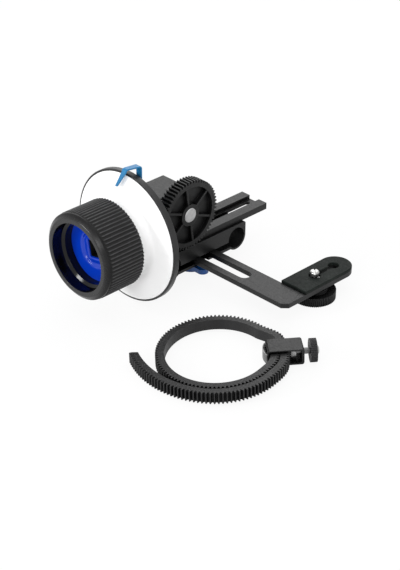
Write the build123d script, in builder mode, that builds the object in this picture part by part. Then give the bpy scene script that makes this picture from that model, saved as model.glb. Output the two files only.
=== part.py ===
from build123d import *
import math
import os

os.makedirs("parts", exist_ok=True)

# Frame: X runs along the camera rods, Y along the hand wheel's shaft (the wheel faces -Y), Z is up.
# The origin is midway between the two rods' axes, and the clamp bolt stands on the Z axis.

# fits
GAP = 0.3  # between pieces that pass each other
RUN = 0.05  # radial, a shaft in its bearing
SEAT = 0.02  # radial, a piece seated in its hole
EDGE = 0.4  # a small broken edge

# camera rods and their clamp
ROD_R = 7.5
ROD_SPACING = 60.0
ROD_CLEAR = 0.05
CLAMP_LENGTH = 27.2
CLAMP_TOP = 9.6
BEAM_BOTTOM = -1.0
HOOK_WALL = 1.25
FLAP_TOP = -5.1
FLAP_T = 1.9
FLAP_INNER = 3.3
CLAMP_EDGE = 1.2

# clamp bolt, its washer and the lever
BOLT_R = 2.0
BOLT_HEAD = 8.0
BOLT_HEAD_T = 1.6
BOLT_SHORT = 1.0
WASHER_R = 10.5
WASHER_T = 1.2
TABLE_Z = -15.2
LEVER_HUB_R = 9.8
LEVER_REACH = 16.4
LEVER_TIP_R = 4.0
LEVER_ROOT_W = 19.0
LEVER_T = 3.4
LEVER_ANGLE = -15.6
LEVER_EDGE = 0.6

# slotted slide rail
RAIL_W = 23.3
RAIL_T = 4.7
RAIL_END = 61.3
GROOVE_W = 8.7
GROOVE_D = 2.7
RAIL_SLOT_W = 4.8
RAIL_SLOT_START = -8.0
RAIL_SLOT_END = 57.0

# gearbox
BOX_HALF_X = 11.8
BOX_LEFT = -50.6
BOX_RIGHT = -14.4
BOX_TOP = 53.8
WALL = 3.0
COVER_T = 2.0
BOX_EDGE = 0.8
POST = 5.0
SCREW_R = 1.25
SCREW_HEAD_R = 2.3
SCREW_HEAD_T = 1.1
SCREW_LEN = 9.0
RAIL_SCREW_R = 1.5
RAIL_SCREW_HEAD_R = 2.9
RAIL_SCREW_HEAD_T = 1.6
RAIL_SCREW_TAPER = 40.0
RAIL_SCREW_INSET = 9.0

# shafts: the hand wheel's runs along Y, the drive gear's along X, one above the other
KNOB_Z = 30.2
GEAR_Y = -22.6
SHAFT_OFFSET = 10.0
GEAR_Z = KNOB_Z + SHAFT_OFFSET
SHAFT_R = 4.0
INNER_SHAFT_R = 3.0
BUSH_R = 6.5
TAIL_BUSH_R = 4.0
TAIL_BOSS_WALL = 1.0
TAIL_BUSH_L = 2.4
HELICAL_TEETH = 9
HELICAL_PITCH_R = SHAFT_OFFSET / 2
HELICAL_L = 10.0
HELICAL_STEPS = 10
HELICAL_ROOT_SHARE = 0.62
HELICAL_TIP_SHARE = 0.2
HELICAL_TURN = 10.0
HELICAL_ADDENDUM = 0.95
HELICAL_DEDENDUM = 1.25

# drive gear, module 0.8
MODULE = 0.8
DEDENDUM = 1.25 * MODULE
GEAR_ROOT_SHARE = 0.78
GEAR_TIP_SHARE = 0.28
DRIVE_TEETH = 58
DRIVE_STANDOFF = 2.0  # from the box's side to the gear's back
DRIVE_W = 8.6
DRIVE_RIM_R = 19.7
DRIVE_RECESS = 3.2
DRIVE_HUB_R = 7.5
DRIVE_RIBS = 6
DRIVE_RIB_W = 1.3
DRIVE_RIB_DROP = 0.5
DRIVE_RIB_TURN = -21.5
DRIVE_RIB_BITE = 1.0
PIN_R = 4.9
PIN_PROUD = 0.3
PIN_COLLAR = 1.0

# hand wheel
KNOB_L = 31.3
GRIP_R = 29.6
GRIP_IN_R = 27.2
GRIP_RIBS = 72
GRIP_GROOVE = 0.7
GRIP_ROOT_SHARE = 0.74
GRIP_TIP_SHARE = 0.5
LIP_W = 3.4
LIP_CHAMFER = 2.4
LIP_R = 29.2
LIP_FLAT_R = 26.4
BORE_R = 23.1
STEP_DEPTH = 7.7
STEP_L = 1.3
INNER_BORE_R = 21.1
FACE_DEPTH = 14.5
FACE_T = 2.2
FACE_RISE = 1.0
FACE_RISE_R = 19.6
FACE_COLLAR_R = 10.6
FACE_COLLAR_W = 0.8
WEB_T = 6.0
SOCKET_SIDE = 11.4
SOCKET_BODY_R = 10.4
SOCKET_TURN = 10.5
KNOB_FLANGE_R = 13.0
KNOB_FLANGE_T = 2.4

# marking disc and the carrier it sits in
DISC_R = 43.75
DISC_PROUD = 0.4
DISC_T = 1.7
BOSS_R = 25.2
BOSS_FILLET = 1.6
BOSS_IN_R = 22.0
BOSS_FACE_T = 1.6
BOSS_L = 10.5
CARRIER_RIM = 1.45
CARRIER_GAP = 4.0
CARRIER_T = 4.2
CARRIER_WEB = 1.5
CARRIER_LIP = 1.5
CARRIER_HUB_R = 12.0

# pointer
POINTER_T = 1.1
POINTER_X = 4.95
POINTER_W = 4.7
POINTER_BEND_W = 3.9
POINTER_TIP_W = 2.0
POINTER_OVER = 4.8
POINTER_FOOT = 43.9
POINTER_AHEAD = 3.6
POINTER_BEND_X = 3.1
POINTER_TIP_X = -4.2
POINTER_TIP_IN = 8.2
POINTER_SCREW_Z = 47.4
POINTER_HEAD_T = 1.4
POINTER_HEAD_R = 2.2

# L bracket and its pad
ARM_TOP = -1.3
ARM_T = 3.5
ARM_HALF = 9.95
ARM_START = -16.0
ARM_SLOT_HALF = 4.5
ARM_SLOT_START = -8.0
ARM_SLOT_END = 54.4
FOOT_W = 21.8
FOOT_END = 61.6
CORNER_CUT = 3.8
PAD_T = 1.95
KEY_NARROW = 2.6
KEY_WIDE_R = 3.6
KEY_END = 48.6
NECK_SLOT_W = 4.9

# camera screw
CAMERA_SCREW_X = 84.7
CAMERA_SCREW_Y = 29.9
THREAD_R = 3.175
THREAD_TOP = 4.1
THREAD_GAP = 0.15
DOME = 1.3
DRIVER_SLOT = 1.0
DRIVER_SLOT_D = 1.4
DRIVER_SLOT_TURN = 45.0
NECK_R = 2.3
WHEEL_R = 14.7
WHEEL_TOP = -9.2
WHEEL_RIBS = 72
WHEEL_GROOVE = 0.45
RIB_ROOT_SHARE = 0.8
RIB_TIP_SHARE = 0.4
WHEEL_FLOOR = 2.0
WHEEL_BOSS_R = 9.4
WHEEL_BOSS_TOP = -7.2
WHEEL_BOSS_TAPER = 12.0
KEEPER_R = 6.5
KEEPER_T = 1.0

# lens gear ring: one toothed belt coiled a turn and a half, resting on its tail and its knob
RING_X = 96.9
RING_Y = -72.4
BELT_H = 7.3
BELT_T = 5.75
BELT_R = 33.8
BELT_OVAL = 1.6
BELT_OVAL_DEG = 127.9
BELT_START_DEG = 65.1
BELT_TUCK = 0.7
BELT_TUCK_DEG = 60.0
BELT_LAP_DEG = 334.0
BELT_TAIL_DEG = 485.0
BELT_END_DEG = 561.0
BELT_FLARE = 10.4
BELT_INNER_DEG = 3.0
BELT_BOW = 1.5
BELT_BOW_DEG = 36.0
BELT_BOW_SPAN_DEG = 24.0
BELT_WALK_DEG = 0.05

# clamp frame of the gear ring and its thumbscrew
FRAME_DEG = 50.5
FRAME_IN = 30.2
FRAME_ASIDE = 1.85
FRAME_DEPTH = 14.1
FRAME_H = 11.0
FRAME_DROP = 1.7
FRAME_WALL = 1.2
FRAME_FLOOR = 1.2
FRAME_END_WALL = 1.7
FRAME_CORNER = 1.6
BELT_PLAY = 1.5
LEAF_T = 0.6
LEAF_BOW = 1.7
LEAF_H = 6.4
FOOT_L = 3.6
FOOT_TRAVEL = 2.7
FOOT_PAD_R = 3.1
STEM_R = 2.0
STEM_OUT = 4.0
SCREW_KNOB_R = 7.5
SCREW_KNOB_L = 4.3
SCREW_KNOB_RIBS = 40
SCREW_KNOB_GROOVE = 0.3
CAP_R = 2.9
CAP_L = 1.6
CAP_ROUND = 1.45

# places that follow from the sizes
CARRIER_BACK = BOX_LEFT - CARRIER_GAP
CARRIER_FRONT = CARRIER_BACK - CARRIER_T
CARRIER_R = DISC_R + CARRIER_RIM
DISC_FACE = CARRIER_FRONT - DISC_PROUD
KNOB_BACK = DISC_FACE - BOSS_L
KNOB_FRONT = KNOB_BACK - KNOB_L
POINTER_TOP = KNOB_Z + CARRIER_R + POINTER_OVER
POINTER_TIP_Z = KNOB_Z + DISC_R - POINTER_TIP_IN
POINTER_FRONT = DISC_FACE - POINTER_AHEAD
FOOT_LEFT = CAMERA_SCREW_X - FOOT_W / 2
FOOT_RIGHT = CAMERA_SCREW_X + FOOT_W / 2
LAP = BELT_T + GAP
FOOT_START = FRAME_WALL + 2 * LAP + BELT_PLAY
FRAME_L = FOOT_START + FOOT_L + FOOT_TRAVEL + FRAME_END_WALL


def knob_plane(y):
    """A plane square to the hand wheel's shaft, facing the user."""
    return Plane(origin=(0, y, KNOB_Z), x_dir=(1, 0, 0), z_dir=(0, -1, 0))


def gear_plane(x):
    """A plane square to the drive gear's shaft, facing the lens side."""
    return Plane(origin=(x, GEAR_Y, GEAR_Z), x_dir=(0, 1, 0), z_dir=(1, 0, 0))


KNOB_PROFILE = Plane(origin=(0, 0, KNOB_Z), x_dir=(0, 1, 0), z_dir=(1, 0, 0))


def turned(profile_plane, points):
    """Adds the solid made by turning a closed outline round the plane's x axis."""
    with BuildSketch(profile_plane) as section:
        with BuildLine():
            Polyline(*points, close=True)
        make_face()
    revolve(section.sketch, axis=Axis(profile_plane.origin, profile_plane.x_dir))


def rod(plane, radius, length, mode=Mode.ADD):
    """Adds or cuts a plain cylinder standing on the plane."""
    with BuildSketch(plane) as section:
        Circle(radius)
    extrude(section.sketch, amount=length, mode=mode)


def pipe(plane, outer, inner, length):
    """Adds a plain tube standing on the plane."""
    with BuildSketch(plane) as section:
        Circle(outer)
        Circle(inner, mode=Mode.SUBTRACT)
    extrude(section.sketch, amount=length)


def polar(radius, angle):
    return (radius * math.cos(angle), radius * math.sin(angle))


def tooth_outline(teeth, root, tip, root_share, tip_share, turn=0.0):
    """Corner points of a toothed wheel; the shares are parts of one pitch."""
    points = []
    pitch = 2 * math.pi / teeth
    for tooth in range(teeth):
        middle = tooth * pitch + turn
        points.append(polar(root, middle - root_share * pitch / 2))
        points.append(polar(tip, middle - tip_share * pitch / 2))
        points.append(polar(tip, middle + tip_share * pitch / 2))
        points.append(polar(root, middle + root_share * pitch / 2))
    return points


HELICAL_MODULE = 2 * HELICAL_PITCH_R * math.cos(math.pi / 4) / HELICAL_TEETH
HELICAL_TIP_R = HELICAL_PITCH_R + HELICAL_MODULE * HELICAL_ADDENDUM
HELICAL_ROOT_R = HELICAL_PITCH_R - HELICAL_MODULE * HELICAL_DEDENDUM


def helical_gear(place):
    """Adds a right-handed screw gear with a 45 degree helix; two of them mesh at right angles."""
    turn_per_step = HELICAL_L / HELICAL_STEPS / HELICAL_PITCH_R
    sections = []
    for step in range(HELICAL_STEPS + 1):
        along = -HELICAL_L / 2 + step * HELICAL_L / HELICAL_STEPS
        outline = tooth_outline(
            HELICAL_TEETH,
            HELICAL_ROOT_R,
            HELICAL_TIP_R,
            HELICAL_ROOT_SHARE,
            HELICAL_TIP_SHARE,
            (step - HELICAL_STEPS / 2) * turn_per_step + math.radians(HELICAL_TURN),
        )
        with BuildSketch(place(along)) as section:
            with BuildLine():
                Polyline(*outline, close=True)
            make_face()
        sections.append(section.sketch)
    loft(sections, ruled=True)


# ---- rod clamp: a beam with a spring hook round each rod ----
HOOK_R = ROD_R + ROD_CLEAR + HOOK_WALL
CLAMP_HALF_Y = ROD_SPACING / 2 + HOOK_R
FLAP_BOTTOM = FLAP_TOP - FLAP_T

with BuildPart() as rod_clamp_block:
    with BuildSketch(Plane.YZ.offset(-CLAMP_LENGTH / 2)):
        with Locations((0, (CLAMP_TOP + BEAM_BOTTOM) / 2)):
            Rectangle(2 * CLAMP_HALF_Y, CLAMP_TOP - BEAM_BOTTOM)
        for side in (-1, 1):
            with Locations((side * ROD_SPACING / 2, 0)):
                Circle(HOOK_R)
            with Locations((side * ROD_SPACING / 4 + side * FLAP_INNER / 2, FLAP_TOP - FLAP_T / 2)):
                Rectangle(ROD_SPACING / 2 - FLAP_INNER, FLAP_T)
        with Locations((0, (FLAP_TOP + BEAM_BOTTOM) / 2)):
            Rectangle(ROD_SPACING, BEAM_BOTTOM - FLAP_TOP, mode=Mode.SUBTRACT)
        for side in (-1, 1):
            with Locations((side * ROD_SPACING / 2, 0)):
                Circle(ROD_R + ROD_CLEAR, mode=Mode.SUBTRACT)
    extrude(amount=CLAMP_LENGTH)
    top_corners = rod_clamp_block.edges().filter_by(Axis.X).group_by(Axis.Z)[-1]
    fillet(top_corners, CLAMP_EDGE)
    rod(Plane.XY.offset(BEAM_BOTTOM), BOLT_R + SEAT, CLAMP_TOP - BEAM_BOTTOM, Mode.SUBTRACT)
rod_clamp_block.part.label = "rod_clamp_block"
export_step(rod_clamp_block.part, "parts/rod_clamp_block.step")

# ---- slide rail: a flat bar with a groove along its top and a slot through it ----
RAIL_BOTTOM = CLAMP_TOP + GAP
RAIL_TOP = RAIL_BOTTOM + RAIL_T
GROOVE_FLOOR = RAIL_TOP - GROOVE_D
RAIL_SCREW_YS = (BOX_LEFT + RAIL_SCREW_INSET, BOX_RIGHT - RAIL_SCREW_INSET)

with BuildPart() as slide_rail:
    with BuildSketch(Plane.XY.offset(RAIL_BOTTOM)):
        with Locations((0, (RAIL_END + BOX_LEFT) / 2)):
            Rectangle(RAIL_W, RAIL_END - BOX_LEFT)
    extrude(amount=RAIL_T)
    with BuildSketch(Plane.XY.offset(GROOVE_FLOOR)):
        with Locations((0, (RAIL_END + BOX_LEFT) / 2)):
            Rectangle(GROOVE_W, RAIL_END - BOX_LEFT)
    extrude(amount=GROOVE_D, mode=Mode.SUBTRACT)
    with BuildSketch(Plane.XY.offset(RAIL_BOTTOM)):
        with Locations((0, (RAIL_SLOT_START + RAIL_SLOT_END) / 2)):
            SlotOverall(RAIL_SLOT_END - RAIL_SLOT_START, RAIL_SLOT_W, rotation=90)
        with Locations(*[(0, y) for y in RAIL_SCREW_YS]):
            Circle(RAIL_SCREW_R + SEAT)
    extrude(amount=RAIL_T, mode=Mode.SUBTRACT)
    with BuildSketch(Plane.XY.offset(RAIL_BOTTOM)):
        with Locations(*[(0, y) for y in RAIL_SCREW_YS]):
            Circle(RAIL_SCREW_HEAD_R + SEAT)
    extrude(amount=RAIL_SCREW_HEAD_T, taper=RAIL_SCREW_TAPER, mode=Mode.SUBTRACT)
slide_rail.part.label = "slide_rail"
export_step(slide_rail.part, "parts/slide_rail.step")

# ---- clamp bolt: its square head rides in the rail's groove ----
BOLT_HEAD_BOTTOM = GROOVE_FLOOR + GAP
BOLT_END = TABLE_Z + BOLT_SHORT
with BuildPart() as clamp_bolt:
    with BuildSketch(Plane.XY.offset(BOLT_HEAD_BOTTOM)):
        Rectangle(BOLT_HEAD, BOLT_HEAD)
    extrude(amount=BOLT_HEAD_T)
    rod(Plane.XY.offset(BOLT_END), BOLT_R, BOLT_HEAD_BOTTOM - BOLT_END)
clamp_bolt.part.label = "clamp_bolt"
export_step(clamp_bolt.part, "parts/clamp_bolt.step")

with BuildPart() as clamp_washer:
    pipe(Plane.XY.offset(FLAP_BOTTOM - WASHER_T), WASHER_R, BOLT_R + SEAT, WASHER_T)
clamp_washer.part.label = "clamp_washer"
export_step(clamp_washer.part, "parts/clamp_washer.step")

# ---- clamp lever: a threaded hub under the clamp with one arm ----
LEVER_TOP = FLAP_BOTTOM - WASHER_T - GAP
with BuildPart() as clamp_lever:
    rod(Plane.XY.offset(TABLE_Z), LEVER_HUB_R, LEVER_TOP - TABLE_Z)
    fillet(clamp_lever.edges().group_by(Axis.Z)[0], LEVER_EDGE)
    with BuildSketch(Plane.XY.offset(LEVER_TOP - LEVER_T).rotated((0, 0, LEVER_ANGLE))):
        with BuildLine():
            Polyline(
                (0, -LEVER_ROOT_W / 2),
                (LEVER_REACH, -LEVER_TIP_R),
                (LEVER_REACH, LEVER_TIP_R),
                (0, LEVER_ROOT_W / 2),
                close=True,
            )
        make_face()
        with Locations((LEVER_REACH, 0)):
            Circle(LEVER_TIP_R)
    extrude(amount=LEVER_T)
    rod(Plane.XY.offset(TABLE_Z), BOLT_R + RUN, LEVER_TOP - TABLE_Z, Mode.SUBTRACT)
clamp_lever.part.label = "clamp_lever"
export_step(clamp_lever.part, "parts/clamp_lever.step")

# ---- gearbox housing: open at the back, closed by a screwed cover ----
BOX_BACK = -BOX_HALF_X + COVER_T
BOX_MID_Y = (BOX_LEFT + BOX_RIGHT) / 2
BOX_LEN_Y = BOX_RIGHT - BOX_LEFT
BOX_MID_Z = (RAIL_TOP + BOX_TOP) / 2
BOX_LEN_Z = BOX_TOP - RAIL_TOP
POST_Y = BOX_LEN_Y / 2 - WALL - POST / 2
POST_Z = BOX_LEN_Z / 2 - WALL - POST / 2
POSTS = [(sy * (POST_Y + POST / 2 - SCREW_HEAD_R), sz * (POST_Z + POST / 2 - SCREW_HEAD_R))
         for sy in (-1, 1) for sz in (-1, 1)]
BOX_SECTION = Plane(origin=(BOX_BACK, BOX_MID_Y, BOX_MID_Z), x_dir=(0, 1, 0), z_dir=(1, 0, 0))

with BuildPart() as gearbox_housing:
    with BuildSketch(BOX_SECTION):
        Rectangle(BOX_LEN_Y, BOX_LEN_Z)
    extrude(amount=BOX_HALF_X - BOX_BACK)
    outer_edges = gearbox_housing.edges().filter_by(Axis.Y).group_by(Axis.Z)[-1]
    chamfer(outer_edges.group_by(Axis.X)[-1], BOX_EDGE)
    upright = gearbox_housing.edges().filter_by(Axis.Z)
    chamfer(upright.group_by(Axis.X)[-1], BOX_EDGE)
    with BuildSketch(BOX_SECTION):
        Rectangle(BOX_LEN_Y - 2 * WALL, BOX_LEN_Z - 2 * WALL)
        for sy in (-1, 1):
            for sz in (-1, 1):
                with Locations((sy * POST_Y, sz * POST_Z)):
                    Rectangle(POST, POST, mode=Mode.SUBTRACT)
    extrude(amount=BOX_HALF_X - BOX_BACK - WALL, mode=Mode.SUBTRACT)
    with BuildSketch(BOX_SECTION):
        with Locations(*POSTS):
            Circle(SCREW_R + SEAT)
    extrude(amount=SCREW_LEN - COVER_T, mode=Mode.SUBTRACT)
    rod(knob_plane(BOX_LEFT + WALL), BUSH_R + SEAT, WALL, Mode.SUBTRACT)
    rod(knob_plane(BOX_RIGHT - WALL + TAIL_BUSH_L), TAIL_BUSH_R + SEAT, TAIL_BUSH_L, Mode.SUBTRACT)
    rod(gear_plane(BOX_HALF_X - WALL), BUSH_R + SEAT, WALL, Mode.SUBTRACT)
    relief_x = HELICAL_L / 2 + GAP
    rod(gear_plane(-relief_x), HELICAL_TIP_R + GAP, 2 * relief_x, Mode.SUBTRACT)
    with BuildSketch(Plane.XY.offset(RAIL_TOP)):
        with Locations(*[(0, y) for y in RAIL_SCREW_YS]):
            Circle(RAIL_SCREW_R + SEAT)
    extrude(amount=WALL, mode=Mode.SUBTRACT)
    pointer_screw_plane = Plane(
        origin=(POINTER_X, BOX_LEFT, POINTER_SCREW_Z), x_dir=(-1, 0, 0), z_dir=(0, 1, 0)
    )
    rod(pointer_screw_plane, RAIL_SCREW_R + SEAT, WALL, Mode.SUBTRACT)
gearbox_housing.part.label = "gearbox_housing"
export_step(gearbox_housing.part, "parts/gearbox_housing.step")

# ---- gearbox cover, with a boss for the gear shaft's tail bush ----
TAIL_BOSS_L = 3.2
COVER_SECTION = BOX_SECTION.offset(-COVER_T)
TAIL_BUSH_X = BOX_BACK + TAIL_BOSS_L - TAIL_BUSH_L
with BuildPart() as gearbox_cover:
    with BuildSketch(COVER_SECTION):
        Rectangle(BOX_LEN_Y, BOX_LEN_Z)
    extrude(amount=COVER_T)
    rod(gear_plane(BOX_BACK), TAIL_BUSH_R + TAIL_BOSS_WALL, TAIL_BOSS_L)
    rod(gear_plane(TAIL_BUSH_X), TAIL_BUSH_R + SEAT, TAIL_BUSH_L, Mode.SUBTRACT)
    with BuildSketch(COVER_SECTION):
        with Locations(*POSTS):
            Circle(SCREW_R + SEAT)
    extrude(amount=COVER_T, mode=Mode.SUBTRACT)
    with BuildSketch(COVER_SECTION):
        with Locations(*POSTS):
            Circle(SCREW_HEAD_R + SEAT)
    extrude(amount=SCREW_HEAD_T, mode=Mode.SUBTRACT)
gearbox_cover.part.label = "gearbox_cover"
export_step(gearbox_cover.part, "parts/gearbox_cover.step")

with BuildPart() as cover_screws:
    with BuildSketch(COVER_SECTION):
        with Locations(*POSTS):
            Circle(SCREW_HEAD_R)
    extrude(amount=SCREW_HEAD_T)
    with BuildSketch(COVER_SECTION):
        with Locations(*POSTS):
            Circle(SCREW_R)
    extrude(amount=SCREW_LEN)
    with BuildSketch(COVER_SECTION):
        with Locations(*POSTS):
            RegularPolygon(SCREW_R, 6)
    extrude(amount=SCREW_HEAD_T / 2, mode=Mode.SUBTRACT)
cover_screws.part.label = "cover_screws"
export_step(cover_screws.part, "parts/cover_screws.step")

with BuildPart() as rail_screws:
    with BuildSketch(Plane.XY.offset(RAIL_BOTTOM)):
        with Locations(*[(0, y) for y in RAIL_SCREW_YS]):
            Circle(RAIL_SCREW_HEAD_R)
    extrude(amount=RAIL_SCREW_HEAD_T, taper=RAIL_SCREW_TAPER)
    with BuildSketch(Plane.XY.offset(RAIL_BOTTOM)):
        with Locations(*[(0, y) for y in RAIL_SCREW_YS]):
            Circle(RAIL_SCREW_R)
    extrude(amount=RAIL_T + WALL)
rail_screws.part.label = "rail_screws"
export_step(rail_screws.part, "parts/rail_screws.step")

# ---- bushes ----
with BuildPart() as wheel_bush:
    pipe(knob_plane(BOX_LEFT + WALL), BUSH_R, SHAFT_R + RUN, WALL)
wheel_bush.part.label = "wheel_bush"
export_step(wheel_bush.part, "parts/wheel_bush.step")

with BuildPart() as wheel_tail_bush:
    pipe(knob_plane(BOX_RIGHT - WALL + TAIL_BUSH_L), TAIL_BUSH_R, INNER_SHAFT_R + RUN, TAIL_BUSH_L)
wheel_tail_bush.part.label = "wheel_tail_bush"
export_step(wheel_tail_bush.part, "parts/wheel_tail_bush.step")

with BuildPart() as gear_bush:
    pipe(gear_plane(BOX_HALF_X - WALL), BUSH_R, SHAFT_R + RUN, WALL)
gear_bush.part.label = "gear_bush"
export_step(gear_bush.part, "parts/gear_bush.step")

with BuildPart() as gear_tail_bush:
    pipe(gear_plane(TAIL_BUSH_X), TAIL_BUSH_R, INNER_SHAFT_R + RUN, TAIL_BUSH_L)
gear_tail_bush.part.label = "gear_tail_bush"
export_step(gear_tail_bush.part, "parts/gear_tail_bush.step")

# ---- hand wheel shaft and its screw gear ----
FLANGE_FRONT = KNOB_FRONT + FACE_DEPTH + FACE_T + WEB_T + KNOB_FLANGE_T
SHAFT_STEP_Y = BOX_LEFT + WALL + GAP
WHEEL_SHAFT_END = BOX_RIGHT - WALL + TAIL_BUSH_L - GAP
with BuildPart() as wheel_shaft:
    rod(knob_plane(FLANGE_FRONT), KNOB_FLANGE_R, KNOB_FLANGE_T)
    rod(knob_plane(SHAFT_STEP_Y), SHAFT_R, SHAFT_STEP_Y - FLANGE_FRONT)
    rod(knob_plane(WHEEL_SHAFT_END), INNER_SHAFT_R, WHEEL_SHAFT_END - SHAFT_STEP_Y)
wheel_shaft.part.label = "wheel_shaft"
export_step(wheel_shaft.part, "parts/wheel_shaft.step")

with BuildPart() as wheel_screw_gear:
    helical_gear(lambda along: knob_plane(GEAR_Y - along))
    rod(knob_plane(GEAR_Y + HELICAL_L), INNER_SHAFT_R + SEAT, 2 * HELICAL_L, Mode.SUBTRACT)
wheel_screw_gear.part.label = "wheel_screw_gear"
export_step(wheel_screw_gear.part, "parts/wheel_screw_gear.step")

# ---- hand wheel: cup, ribbed grip, dished face and square crank socket ----
FACE_Y = KNOB_FRONT + FACE_DEPTH
WEB_FRONT = FACE_Y + FACE_T
WEB_BACK = WEB_FRONT + WEB_T
GRIP_FRONT = KNOB_FRONT + LIP_W
STEP_Y = KNOB_FRONT + STEP_DEPTH
with BuildPart() as wheel_cup:
    turned(
        KNOB_PROFILE,
        [
            (KNOB_FRONT, BORE_R),
            (KNOB_FRONT, LIP_FLAT_R),
            (KNOB_FRONT + LIP_CHAMFER, LIP_R),
            (GRIP_FRONT, LIP_R),
            (GRIP_FRONT, GRIP_IN_R),
            (KNOB_BACK, GRIP_IN_R),
            (KNOB_BACK, BOSS_IN_R),
            (WEB_BACK, BOSS_IN_R),
            (WEB_BACK, SOCKET_BODY_R + SEAT),
            (WEB_FRONT, SOCKET_BODY_R + SEAT),
            (WEB_FRONT, INNER_BORE_R),
            (STEP_Y + STEP_L, INNER_BORE_R),
            (STEP_Y, BORE_R),
        ],
    )
wheel_cup.part.label = "wheel_cup"
export_step(wheel_cup.part, "parts/wheel_cup.step")

with BuildPart() as grip_sleeve:
    with BuildSketch(knob_plane(KNOB_BACK)):
        with BuildLine():
            Polyline(
                *tooth_outline(
                    GRIP_RIBS, GRIP_R - GRIP_GROOVE, GRIP_R, GRIP_ROOT_SHARE, GRIP_TIP_SHARE
                ),
                close=True,
            )
        make_face()
        Circle(GRIP_IN_R + SEAT, mode=Mode.SUBTRACT)
    extrude(amount=KNOB_BACK - GRIP_FRONT)
grip_sleeve.part.label = "grip_sleeve"
export_step(grip_sleeve.part, "parts/grip_sleeve.step")

with BuildPart() as dished_face:
    turned(
        KNOB_PROFILE,
        [
            (FACE_Y, INNER_BORE_R - SEAT),
            (FACE_Y, FACE_RISE_R),
            (FACE_Y + FACE_RISE, FACE_COLLAR_R),
            (FACE_Y, FACE_COLLAR_R - FACE_COLLAR_W),
            (FACE_Y, 0),
            (WEB_FRONT, 0),
            (WEB_FRONT, INNER_BORE_R - SEAT),
        ],
    )
    with BuildSketch(knob_plane(WEB_FRONT)):
        Rectangle(SOCKET_SIDE, SOCKET_SIDE, rotation=SOCKET_TURN)
    extrude(amount=FACE_T, mode=Mode.SUBTRACT)
dished_face.part.label = "dished_face"
export_step(dished_face.part, "parts/dished_face.step")

with BuildPart() as crank_socket:
    rod(knob_plane(WEB_BACK), SOCKET_BODY_R, WEB_T)
    with BuildSketch(knob_plane(WEB_BACK)):
        Rectangle(SOCKET_SIDE, SOCKET_SIDE, rotation=SOCKET_TURN)
    extrude(amount=WEB_T, mode=Mode.SUBTRACT)
crank_socket.part.label = "crank_socket"
export_step(crank_socket.part, "parts/crank_socket.step")

# ---- marking disc: a white hat that fills the space behind the hand wheel ----
DISC_BACK = DISC_FACE + DISC_T
with BuildPart() as marking_disc:
    pipe(knob_plane(DISC_BACK), DISC_R, BOSS_IN_R, DISC_T)
    pipe(knob_plane(DISC_FACE), BOSS_R, BOSS_IN_R, DISC_FACE - KNOB_BACK)
    pipe(knob_plane(KNOB_BACK + BOSS_FACE_T), BOSS_R, SHAFT_R + SEAT, BOSS_FACE_T)
    foot = marking_disc.edges().filter_by(GeomType.CIRCLE)
    foot = foot.filter_by(lambda e: abs(e.radius - BOSS_R) < SEAT)
    fillet(foot.group_by(Axis.Y)[-1], BOSS_FILLET)
marking_disc.part.label = "marking_disc"
export_step(marking_disc.part, "parts/marking_disc.step")

with BuildPart() as disc_carrier:
    turned(
        KNOB_PROFILE,
        [
            (CARRIER_FRONT, DISC_R + SEAT),
            (CARRIER_FRONT, CARRIER_R),
            (CARRIER_BACK, CARRIER_R),
            (CARRIER_BACK, DISC_R - CARRIER_LIP),
            (DISC_BACK + CARRIER_WEB, DISC_R - CARRIER_LIP),
            (DISC_BACK + CARRIER_WEB, CARRIER_HUB_R),
            (CARRIER_BACK, CARRIER_HUB_R),
            (CARRIER_BACK, SHAFT_R + SEAT),
            (DISC_BACK, SHAFT_R + SEAT),
            (DISC_BACK, DISC_R + SEAT),
        ],
    )
disc_carrier.part.label = "disc_carrier"
export_step(disc_carrier.part, "parts/disc_carrier.step")

# ---- pointer: a bent strip on the gearbox, reaching over the disc's edge ----
with BuildPart() as pointer:
    with BuildSketch(Plane(origin=(0, BOX_LEFT, 0), x_dir=(1, 0, 0), z_dir=(0, -1, 0))):
        with Locations((POINTER_X, (POINTER_TOP + POINTER_FOOT) / 2)):
            Rectangle(POINTER_W, POINTER_TOP - POINTER_FOOT)
        with Locations((POINTER_X, POINTER_SCREW_Z)):
            Circle(RAIL_SCREW_R + SEAT, mode=Mode.SUBTRACT)
    extrude(amount=POINTER_T)
    with BuildSketch(Plane.XY.offset(POINTER_TOP - POINTER_T)):
        with BuildLine():
            Polyline(
                (POINTER_X - POINTER_W / 2, BOX_LEFT),
                (POINTER_X + POINTER_W / 2, BOX_LEFT),
                (POINTER_BEND_X + POINTER_BEND_W / 2, POINTER_FRONT),
                (POINTER_BEND_X - POINTER_BEND_W / 2, POINTER_FRONT),
                close=True,
            )
        make_face()
    extrude(amount=POINTER_T)
    with BuildSketch(Plane(origin=(0, POINTER_FRONT + POINTER_T, 0), x_dir=(1, 0, 0), z_dir=(0, -1, 0))):
        with BuildLine():
            Polyline(
                (POINTER_BEND_X - POINTER_BEND_W / 2, POINTER_TOP),
                (POINTER_BEND_X + POINTER_BEND_W / 2, POINTER_TOP),
                (POINTER_TIP_X + POINTER_TIP_W / 2, POINTER_TIP_Z),
                (POINTER_TIP_X - POINTER_TIP_W / 2, POINTER_TIP_Z),
                close=True,
            )
        make_face()
    extrude(amount=POINTER_T)
pointer.part.label = "pointer"
export_step(pointer.part, "parts/pointer.step")

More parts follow.
